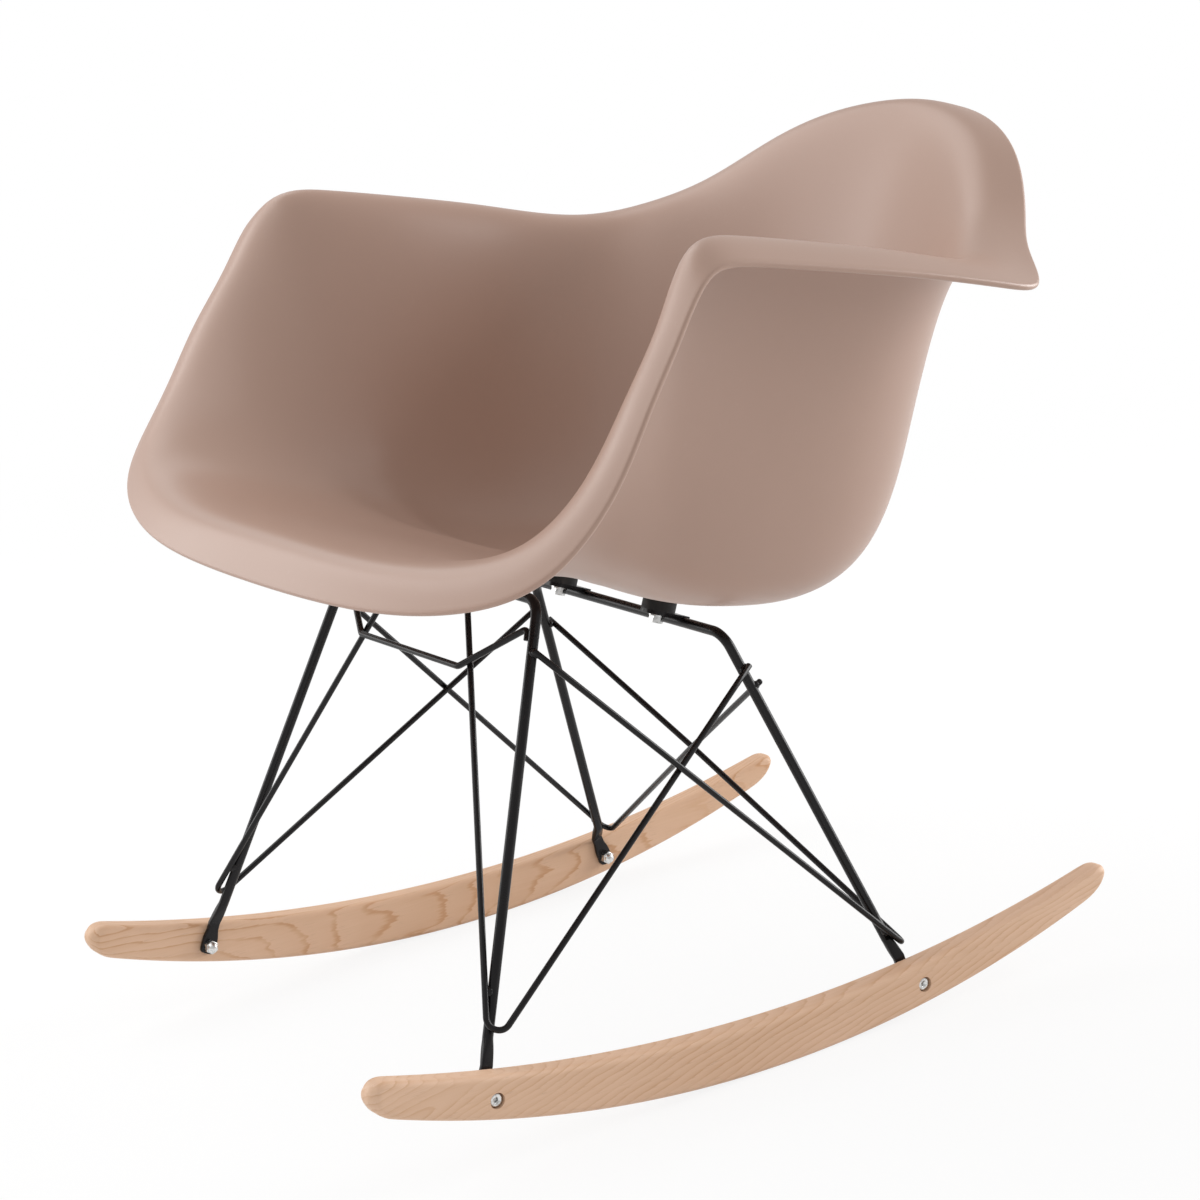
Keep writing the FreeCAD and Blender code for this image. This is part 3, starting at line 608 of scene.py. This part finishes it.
def bentPath(corners, radii):
    # straight runs joined by tangent arcs, sampled along their length
    corners = np.asarray(corners, float)
    pieces, start = [], corners[0]
    for i, radius in enumerate(radii, 1):
        a, b = unit(corners[i - 1] - corners[i]), unit(corners[i + 1] - corners[i])
        half = math.acos(np.clip(a @ b, -1, 1)) / 2
        first, last = (corners[i] + way * radius / math.tan(half) for way in (a, b))
        hub = corners[i] + unit(a + b) * radius / math.sin(half)
        pieces.append(np.linspace(start, first, pathSteps["run"], endpoint=False))
        count = max(pathSteps["bendLeast"], int(radius * (math.pi - 2 * half) / pathSteps["bend"]))
        turn = np.linspace(0, math.pi - 2 * half, count, endpoint=False)[:, None]
        pieces.append(hub + radius * (unit(first - hub) * np.cos(turn) - a * np.sin(turn)))
        start = last
    pieces.append(np.linspace(start, corners[-1], pathSteps["run"]))
    return np.concatenate(pieces)


def sweep(path, plane, wide, thick, power, sides):
    # a section carried along a path: the section is |p / wide|^power + |q / thick|^power = 1
    way = unit(np.gradient(path, axis=0))
    plane = unit(plane - way * (way @ plane)[:, None])
    flat = np.cross(way, plane)
    angle = np.linspace(0, 2 * math.pi, sides, endpoint=False)
    share = 2 / np.asarray(power, float)[:, None]
    p = np.sign(np.cos(angle)) * np.abs(np.cos(angle)) ** share * np.asarray(wide)[:, None]
    q = np.sign(np.sin(angle)) * np.abs(np.sin(angle)) ** share * np.asarray(thick)[:, None]
    return path[:, None] + plane[:, None] * p[..., None] + flat[:, None] * q[..., None]


def legLine(side, end):
    # top bend, ankle, top of the flat foot and bolt centre of a leg
    rod = rods[end]
    top = np.array((rod["half"], rod["y"], rod["z"]))
    ankle = np.array(rod["ankle"])
    bolt = np.array((rods["facePlane"] - rods["footThick"] / 2,) + rod["bolt"])
    lean = (ankle[1] - top[1]) / (ankle[2] - top[2])
    flat = bolt + np.array((0, lean, 1)) * rods["footLength"]
    return [point * (side, 1, 1) for point in (top, ankle, flat, bolt)]


def mainRodSkin(end):
    # round rod between the ankles, which eases into a flat strap with a round eye at each foot
    top, ankle, flat, bolt = legLine(1, end)
    tip = bolt + unit(bolt - flat) * rods["footWide"] / 2
    drop = np.sin(np.linspace(math.pi / 2 - rods["tipGap"], 0, rods["tipSteps"], endpoint=False))[:, None]
    foot = np.concatenate([
        bolt + (tip - bolt) * drop, np.linspace(bolt, flat, rods["eyeSteps"], endpoint=False),
        np.linspace(flat, ankle, rods["ankleSteps"], endpoint=False)])
    bar = bentPath([ankle, top, top * (-1, 1, 1), ankle * (-1, 1, 1)], [rods["bend"]] * 2)
    path = np.concatenate([foot, bar, (foot * (-1, 1, 1))[::-1]])
    height, eyeTop = foot[:, 2], bolt[2] + rods["eyeFrom"]
    ease = eased(height, flat[2], ankle[2])
    neck = eased(height, eyeTop, eyeTop + rods["eyeBlend"])
    past = np.clip((bolt[2] - height) / (bolt[2] - tip[2]), 0, 1)
    strap = rods["strapWide"] / 2 * (1 - ease) + rods["radius"] * ease
    wide = (rods["footWide"] / 2 * (1 - neck) + strap * neck) * (1 - past**4) ** 0.25
    thick = rods["footThick"] / 2 * (1 - ease) + rods["radius"] * ease
    power = rods["strapPower"] * (1 - ease) + rods["roundPower"] * ease

    def wholeRod(atFoot, atBar):
        return np.concatenate([atFoot, np.full(len(bar), atBar), atFoot[::-1]])

    plane = unit(np.cross((1.0, 0, 0), (ankle - top) * (0, 1, 1)))
    return outward(closedSkin(sweep(
        path, plane, wholeRod(wide, rods["radius"]), wholeRod(thick, rods["radius"]),
        wholeRod(power, rods["roundPower"]), rods["sides"])))


for end in ("front", "rear"):
    makePiece(end + "FrameRod", [mainRodSkin(end)], "black_coat", end + "_frame_rod")
print("main rods made")

# Thin wires and the brace, each laid against the rods that carry it and held by weld beads

wires = {
    "radius": 2.4, "gap": 0.15, "overrun": 3.5, "sides": 18, "cutRound": 0.4, "cutShare": 0.8,
    "seatRounds": 4,
    "bead": {"radius": 3.4, "long": 1.35, "lump": 0.05, "lumps": 9.0, "rings": 15, "sides": 24},
    "front": {"hairpin": (214.2, -168.5, 57.2), "bend": 9.0, "crossX": 43.7, "sideZ": 286.8},
    "rear": {"hairpin": (204.5, 226.5, 62.5), "bend": 6.5, "crossZ": 272.4, "sideZ": 323.0, "bow": 2.75,
             "bowBend": 400.0},
    "brace": {"radius": 2.5, "corner": (70.4, -100.6, 303.8), "seatZ": 340.8, "end": 9.0, "endBend": 3.2,
              "bend": 7.0},
}


def nearest(p, u, q, v):
    # middle of the shortest line between two lines, each given by a point and its way
    w, b = p - q, u @ v
    s = (b * (v @ w) - u @ w) / (1 - b * b)
    t = (v @ w - b * (u @ w)) / (1 - b * b)
    return (p + u * s + q + v * t) / 2


def onLeg(side, end, z):
    # the point of a leg's middle line at a height, and the way up the leg
    top, ankle = legLine(side, end)[:2]
    way = unit(top - ankle)
    return ankle + way * (z - ankle[2]) / way[2], way


def touching(radius):
    # distance between the middle lines of a main rod and a wire laid against it
    return rods["radius"] + radius + wires["gap"]


def seatOn(start, rodPoint, rodWay, toward, touch):
    # where a straight wire from start passes, so that it touches a rod on the named side
    seat = rodPoint
    for _ in range(wires["seatRounds"]):
        across = unit(np.cross(rodWay, unit(seat - start)))
        seat = rodPoint + across * math.copysign(touch, across @ np.asarray(toward, float))
    return seat


def beadSkin(start, end, rodPoint, rodWay):
    # a weld: a lumpy round bead between a wire and a rod, longer along the wire
    bead = wires["bead"]
    along = unit(end - start)
    height = np.linspace(-1, 1, bead["rings"] + 2)[1:-1]
    lump = 1 + bead["lump"] * np.sin(height * bead["lumps"])
    profile = np.stack([np.sqrt(1 - height**2) * lump, height * bead["long"]], -1) * bead["radius"]
    middle = nearest(start, along, rodPoint, rodWay)
    return outward(closedSkin(revolved(middle, along, profile, bead["sides"])))


def wireSkin(corners, radii, radius):
    # round wire along bent runs with slightly rounded cut ends
    path = bentPath(corners, radii)
    first = path[:1] - unit(path[1:2] - path[:1]) * wires["cutRound"]
    last = path[-1:] + unit(path[-1:] - path[-2:-1]) * wires["cutRound"]
    path = np.concatenate([first, path, last])
    size = np.full(len(path), radius)
    size[[0, -1]] *= wires["cutShare"]
    plane = unit(np.cross(corners[1] - corners[0], corners[2] - corners[1]))
    return outward(closedSkin(sweep(path, plane, size, size, np.full(len(path), 2.0), wires["sides"])))


def frontWire(side):
    # hairpin at a front foot: one arm to the front cross rod, one to the rear leg
    w = wires["front"]
    touch = touching(wires["radius"])
    foot, footWay = onLeg(side, "front", rods["front"]["ankle"][2])
    vertex = np.array(w["hairpin"]) * (side, 1, 1)
    cross = np.array((side * w["crossX"], rods["front"]["y"], rods["front"]["z"]))
    along = np.array((1.0, 0, 0))
    high = seatOn(vertex, cross, along, (0, -1, 0), touch)
    rear, rearWay = onLeg(side, "rear", w["sideZ"])
    far = seatOn(vertex, rear, rearWay, (side, 0, 0), touch)
    ends = [point + unit(point - vertex) * wires["overrun"] for point in (high, far)]
    return [wireSkin([ends[0], vertex, ends[1]], [w["bend"]], wires["radius"]),
            beadSkin(vertex, high, foot, footWay), beadSkin(vertex, high, cross, along),
            beadSkin(vertex, far, rear, rearWay)]


def rearWire(side):
    # hairpin behind a rear foot: one arm to the front leg, one across to the other rear leg, which bows
    # a little so that the two crossing arms pass each other
    w = wires["rear"]
    touch = touching(wires["radius"])
    foot, footWay = onLeg(side, "rear", rods["rear"]["ankle"][2])
    vertex = np.array(w["hairpin"]) * (side, 1, 1)
    other, otherWay = onLeg(-side, "rear", w["crossZ"])
    far = seatOn(vertex, other, otherWay, (0, 1, 0), touch)
    front, frontWay = onLeg(side, "front", w["sideZ"])
    near = seatOn(vertex, front, frontWay, (side, 0, 0), touch)
    sideEnd, crossEnd = (point + unit(point - vertex) * wires["overrun"] for point in (near, far))
    share = vertex[0] / (vertex[0] - crossEnd[0])
    middle = vertex + (crossEnd - vertex) * share + np.array((0, side * w["bow"], 0))
    return [wireSkin([sideEnd, vertex, middle, crossEnd], [w["bend"], w["bowBend"]], wires["radius"]),
            beadSkin(vertex, near, foot, footWay), beadSkin(vertex, far, other, otherWay),
            beadSkin(vertex, near, front, frontWay)]


def braceSkins():
    # dipped brace between the front legs, its ends laid down along them
    w = wires["brace"]
    runs, beads = [], []
    for _, side in sidesOfChair:
        leg, way = onLeg(side, "front", w["seatZ"])
        corner = np.array(w["corner"]) * (side, 1, 1)
        toward = unit(corner - leg)
        upper = leg + unit(toward - way * (toward @ way)) * touching(w["radius"])
        lower = upper - way * w["end"]
        runs.append([lower, upper, corner])
        beads += [beadSkin(corner, upper, leg, way), beadSkin(corner, lower, leg - way * w["end"], way)]
    corners = runs[0] + runs[1][::-1]
    return [wireSkin(corners, [w["endBend"], w["bend"], w["bend"], w["endBend"]], w["radius"])] + beads


for label, side in sidesOfChair:
    makePiece("frontFootWire_" + label, frontWire(side), "black_coat", "front_foot_wire_" + label)
    makePiece("rearFootWire_" + label, rearWire(side), "black_coat", "rear_foot_wire_" + label)
makePiece("frontBrace", braceSkins(), "black_coat", "front_brace")
print("wires and brace made")

# Rockers: boards between a sole's arc and a top's arc, in the level pose

board = {
    "outer": 229.0, "thick": 21.0, "front": -272.0, "rear": 417.0, "lean": 9.0, "edge": 5.0,
    "sole": {"low": -1.14, "y": 1.7, "radius": 1000.0}, "top": {"low": 38.1, "y": -13.2, "radius": 1352.0},
    "nose": {"over": 17.0, "under": 18.0}, "tail": {"over": 17.0, "under": 17.0}, "endRound": 8.5,
    "endSoft": 4.0, "softReach": 26.0, "stations": 260, "cornerSamples": 9, "flatSamples": 5,
    "bore": 3.3, "sink": 6.0, "sinkDepth": 5.0, "cutterOver": 4.0, "cutterReach": 40.0, "cutterSides": 64,
    "sharpFrom": 60.0,
}


def boardEdge(share, rear, arc):
    # one long edge: y runs from front to rear, and z is the arc's low + radius - sqrt(radius^2 - dy^2)
    y = board["front"] + share * (rear - board["front"])
    return np.stack([y, arc["low"] + arc["radius"] - np.sqrt(arc["radius"] ** 2 - (y - arc["y"]) ** 2)], -1)


def quarter(away, reach):
    # a quarter ellipse: 0 at the tip and 1 from reach on
    return np.sqrt(1 - (1 - np.clip(away / reach, 0, 1)) ** 2)


def roundedRing(wide, top, bottom, corner):
    # ring of a section: quarter circles at the four corners, joined by straight runs
    angle = np.linspace(0, math.pi / 2, board["cornerSamples"])
    flat = np.linspace(0, 1, board["flatSamples"] + 2)[1:-1, None]
    arcs = []
    corners = ((1, top, 1), (-1, top, 1), (-1, bottom, -1), (1, bottom, -1))
    for turn, (right, level, up) in enumerate(corners):
        a = angle + turn * math.pi / 2
        hub = np.stack([right * (wide - corner), level - up * corner], -1)
        arcs.append(hub[:, None] + corner[:, None, None] * np.stack([np.cos(a), np.sin(a)], -1))
    ring = []
    for arc, following in zip(arcs, arcs[1:] + arcs[:1]):
        ring += [arc, arc[:, -1:] * (1 - flat) + following[:, :1] * flat]
    return np.concatenate(ring, 1)


def boardSkin(side):
    # a section with round corners carried between the two arcs; towards each tip the section closes
    # along quarter ellipses and its faces draw in by the end's own round
    share = (1 - np.cos(np.linspace(0, math.pi, board["stations"]))) / 2
    low = boardEdge(share, board["rear"] - board["lean"], board["sole"])
    high = boardEdge(share, board["rear"], board["top"])
    middle, up = (low + high) / 2, unit(high - low)
    half = np.linalg.norm(high - low, axis=1) / 2
    run = np.concatenate([[0], np.cumsum(np.linalg.norm(np.diff(middle, axis=0), axis=1))])
    over, under, draw, soft = 1.0, 1.0, 0.0, board["edge"]
    for away, end in ((run, board["nose"]), (run[-1] - run, board["tail"])):
        over, under = over * quarter(away, end["over"]), under * quarter(away, end["under"])
        draw = draw + board["endRound"] * (1 - quarter(away, board["endRound"]))
        soft = soft + board["endSoft"] * (1 - np.clip(away / board["softReach"], 0, 1)) ** 2
    top, bottom, wide = half * over, -half * under, board["thick"] / 2 - draw
    ring = roundedRing(wide, top, bottom, np.minimum(np.minimum(soft, (top - bottom) / 2), wide))
    x = side * (board["outer"] - board["thick"] / 2) + ring[..., :1]
    return outward(closedSkin(np.concatenate([x, middle[:, None] + up[:, None] * ring[..., 1:]], -1)))


def boardHole(side, place):
    # the bolt's bore and the sink for its head, as one turned cutter
    over, bore, sink = board["cutterOver"], board["bore"], board["sink"]
    base = np.array((side * (board["outer"] + over), *place))
    depth = board["sinkDepth"] + over
    profile = [(sink, 0), (sink, depth), (bore, depth), (bore, board["cutterReach"])]
    return outward(closedSkin(revolved(base, np.array((-side, 0, 0.0)), profile, board["cutterSides"])))


for label, side in sidesOfChair:
    piece = makePiece("rockerBoard_" + label, [boardSkin(side)], "ash_wood", "rocker_" + label)
    cutters = []
    for end in ("front", "rear"):
        cutters.append(makeMesh("cutter", [boardHole(side, rods[end]["bolt"])], "ash_wood"))
        cut = piece.modifiers.new("bolt", "BOOLEAN")
        cut.operation, cut.solver, cut.object = "DIFFERENCE", "EXACT", cutters[-1]
    appliedMesh(piece).set_sharp_from_angle(angle=math.radians(board["sharpFrom"]))
    for cutter in cutters:
        bpy.data.objects.remove(cutter)
print("rockers made")

# Fasteners and small pieces take their solids' shapes, and the inserts stay the solids that they are

smallPieces = {
    "copied": ("spacer", "mount_tab", "acorn", "rocker_bolt", "seat_bolt", "washer"), "weld": 0.00001,
    "sharpFrom": 28.0,
}


def smoothCopy(node):
    # the node's own mesh with its triangles joined, smooth but for its sharp edges
    first, *others = node.split("_")
    name = first + "".join(word.capitalize() for word in others)
    piece = bpy.data.objects.new(name, frame["nodes"][node].data.copy())
    bpy.context.scene.collection.objects.link(piece)
    piece.modifiers.new("weld", "WELD").merge_threshold = smallPieces["weld"]
    mesh = appliedMesh(piece)
    mesh.shade_smooth()
    mesh.set_sharp_from_angle(angle=math.radians(smallPieces["sharpFrom"]))
    return piece


def swell(mesh, node):
    # the outer wall of a spacer moves out from its bolt's line to the width of the boss
    point, up = mountPoint(1 if node.endswith("left") else -1, "front" if "front" in node else "rear")
    base, axis = toRest(point), unit(toRest(point + up) - toRest(point))
    points = np.empty(len(mesh.vertices) * 3)
    mesh.vertices.foreach_get("co", points)
    away = points.reshape(-1, 3) - base
    out = away - (away @ axis)[:, None] * axis
    size = np.linalg.norm(out, axis=1, keepdims=True)
    outer = size > mount["spacerInner"] / 1000
    grown = away + out * (mount["spacerRadius"] / 1000 / np.where(outer, size, 1) - 1) * outer
    mesh.vertices.foreach_set("co", (grown + base).ravel())


slotOf = {subpart["node"]: subpart["material_slot"] for subpart in frame["record"]["subparts"]}
for node in sorted(frame["nodes"]):
    if node.startswith(smallPieces["copied"]):
        piece = smoothCopy(node)
        if node.startswith("spacer"):
            swell(piece.data, node)
        piece.data.materials.clear()
        piece.data.materials.append(looks[slotOf[node]])
        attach(piece, "root")
        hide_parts(node)
    else:
        for place in frame["nodes"][node].material_slots:
            place.material = looks[slotOf[node]]
print("fasteners and small pieces made")

# Studio, in metres; a lamp is azimuth from the front towards the sitter's left, elevation, and watts

studio = {
    "camera": (1.977, -1.290, 0.803), "azimuth": 55.37, "elevation": 11.32, "focalPixels": 3114,
    "imagePixels": 1200, "sensor": 36.0, "clip": (0.05, 100), "floorReach": 14.0,
    "floor": (0.86, 0.86, 0.86, 1), "white": (1, 1, 1, 1), "world": 0.64, "shareNear": 0.86,
    "fadeFrom": 0.7, "fadeTo": 2.6, "target": (0, 0, 0.42), "distance": 2.8, "size": (1.7, 1.7),
    "lights": {
        "leftLight": (-55, 14, 22), "leftTopLight": (-45, 45, 18), "farTopLight": (-90, 45, 12),
        "backLight": (165, 14, 60), "frontLight": (0, 45, 8),
    },
}


def fromChair(azimuth, elevation):
    # the way from the chair towards an azimuth and an elevation
    a, e = math.radians(azimuth), math.radians(elevation)
    return Vector((math.sin(a) * math.cos(e), -math.cos(a) * math.cos(e), math.sin(e)))


def seenBy(tree, *kinds):
    # 1 for the named kinds of ray and 0 for the others
    rays = [tree.node("ShaderNodeLightPath", out="Is " + kind + " Ray") for kind in kinds]
    seen = rays[0]
    for ray in rays[1:]:
        seen = seen.math("MAXIMUM", ray)
    return seen


def studioFloor():
    # a matt plate that keeps the shadow, and that eyes and reflections see as white further out
    r = studio["floorReach"]
    mesh = bpy.data.meshes.new("studioFloor")
    mesh.from_pydata([(-r, -r, 0), (r, -r, 0), (r, r, 0), (-r, r, 0)], [], [(0, 1, 2, 3)])
    floor = bpy.data.objects.new("studioFloor", mesh)
    bpy.context.scene.collection.objects.link(floor)
    material = bpy.data.materials.new("studioFloor")
    tree = Tree(material)
    seen = seenBy(tree, "Camera", "Glossy", "Transmission")
    matt = tree.node("ShaderNodeBsdfDiffuse", {}, {"Color": studio["floor"]})
    glow = tree.node("ShaderNodeEmission", {}, {"Color": studio["white"], "Strength": 1.0})
    away = tree.node("ShaderNodeVectorMath", {"operation": "LENGTH"}, {0: tree.place()}, out=1)
    share = tree.smooth(away, studio["fadeFrom"], studio["fadeTo"], studio["shareNear"], 1.0)
    mixed = tree.node("ShaderNodeMixShader", {}, {0: seen * share, 1: matt, 2: glow})
    tree.node("ShaderNodeOutputMaterial", {}, {"Surface": mixed})
    mesh.materials.append(material)


def studioWorld():
    # white to the camera, dimmer as a light
    world = bpy.data.worlds.new("studio")
    bpy.context.scene.world = world
    tree = Tree(world)
    strength = studio["world"] + seenBy(tree, "Camera", "Transmission") * (1 - studio["world"])
    back = tree.node("ShaderNodeBackground", {}, {"Color": studio["white"], "Strength": strength})
    tree.node("ShaderNodeOutputWorld", {}, {"Surface": back})


def softbox(name, azimuth, elevation, power):
    # a square lamp on a sphere about the chair, turned towards it
    toward = fromChair(azimuth, elevation)
    light = bpy.data.lights.new(name, "AREA")
    light.shape = "RECTANGLE"
    light.size, light.size_y = studio["size"]
    light.energy = power
    lamp = bpy.data.objects.new(name, light)
    bpy.context.scene.collection.objects.link(lamp)
    lamp.location = Vector(studio["target"]) + toward * studio["distance"]
    lamp.rotation_euler = (-toward).to_track_quat("-Z", "Y").to_euler()


def studioCamera():
    # the camera is placed in the level pose and turned with the chair
    data = bpy.data.cameras.new("camera")
    data.sensor_width = studio["sensor"]
    data.lens = studio["focalPixels"] / studio["imagePixels"] * studio["sensor"]
    data.clip_start, data.clip_end = studio["clip"]
    camera = bpy.data.objects.new("camera", data)
    bpy.context.scene.collection.objects.link(camera)
    view = -fromChair(studio["azimuth"], studio["elevation"])
    turn = view.to_track_quat("-Z", "Y").to_matrix().to_4x4()
    camera.matrix_world = restMatrix() @ (Matrix.Translation(Vector(studio["camera"])) @ turn)
    bpy.context.scene.camera = camera


studioFloor()
studioWorld()
for name, setting in studio["lights"].items():
    softbox(name, *setting)
studioCamera()
bpy.context.scene.view_settings.view_transform = "Standard"
print("studio made")
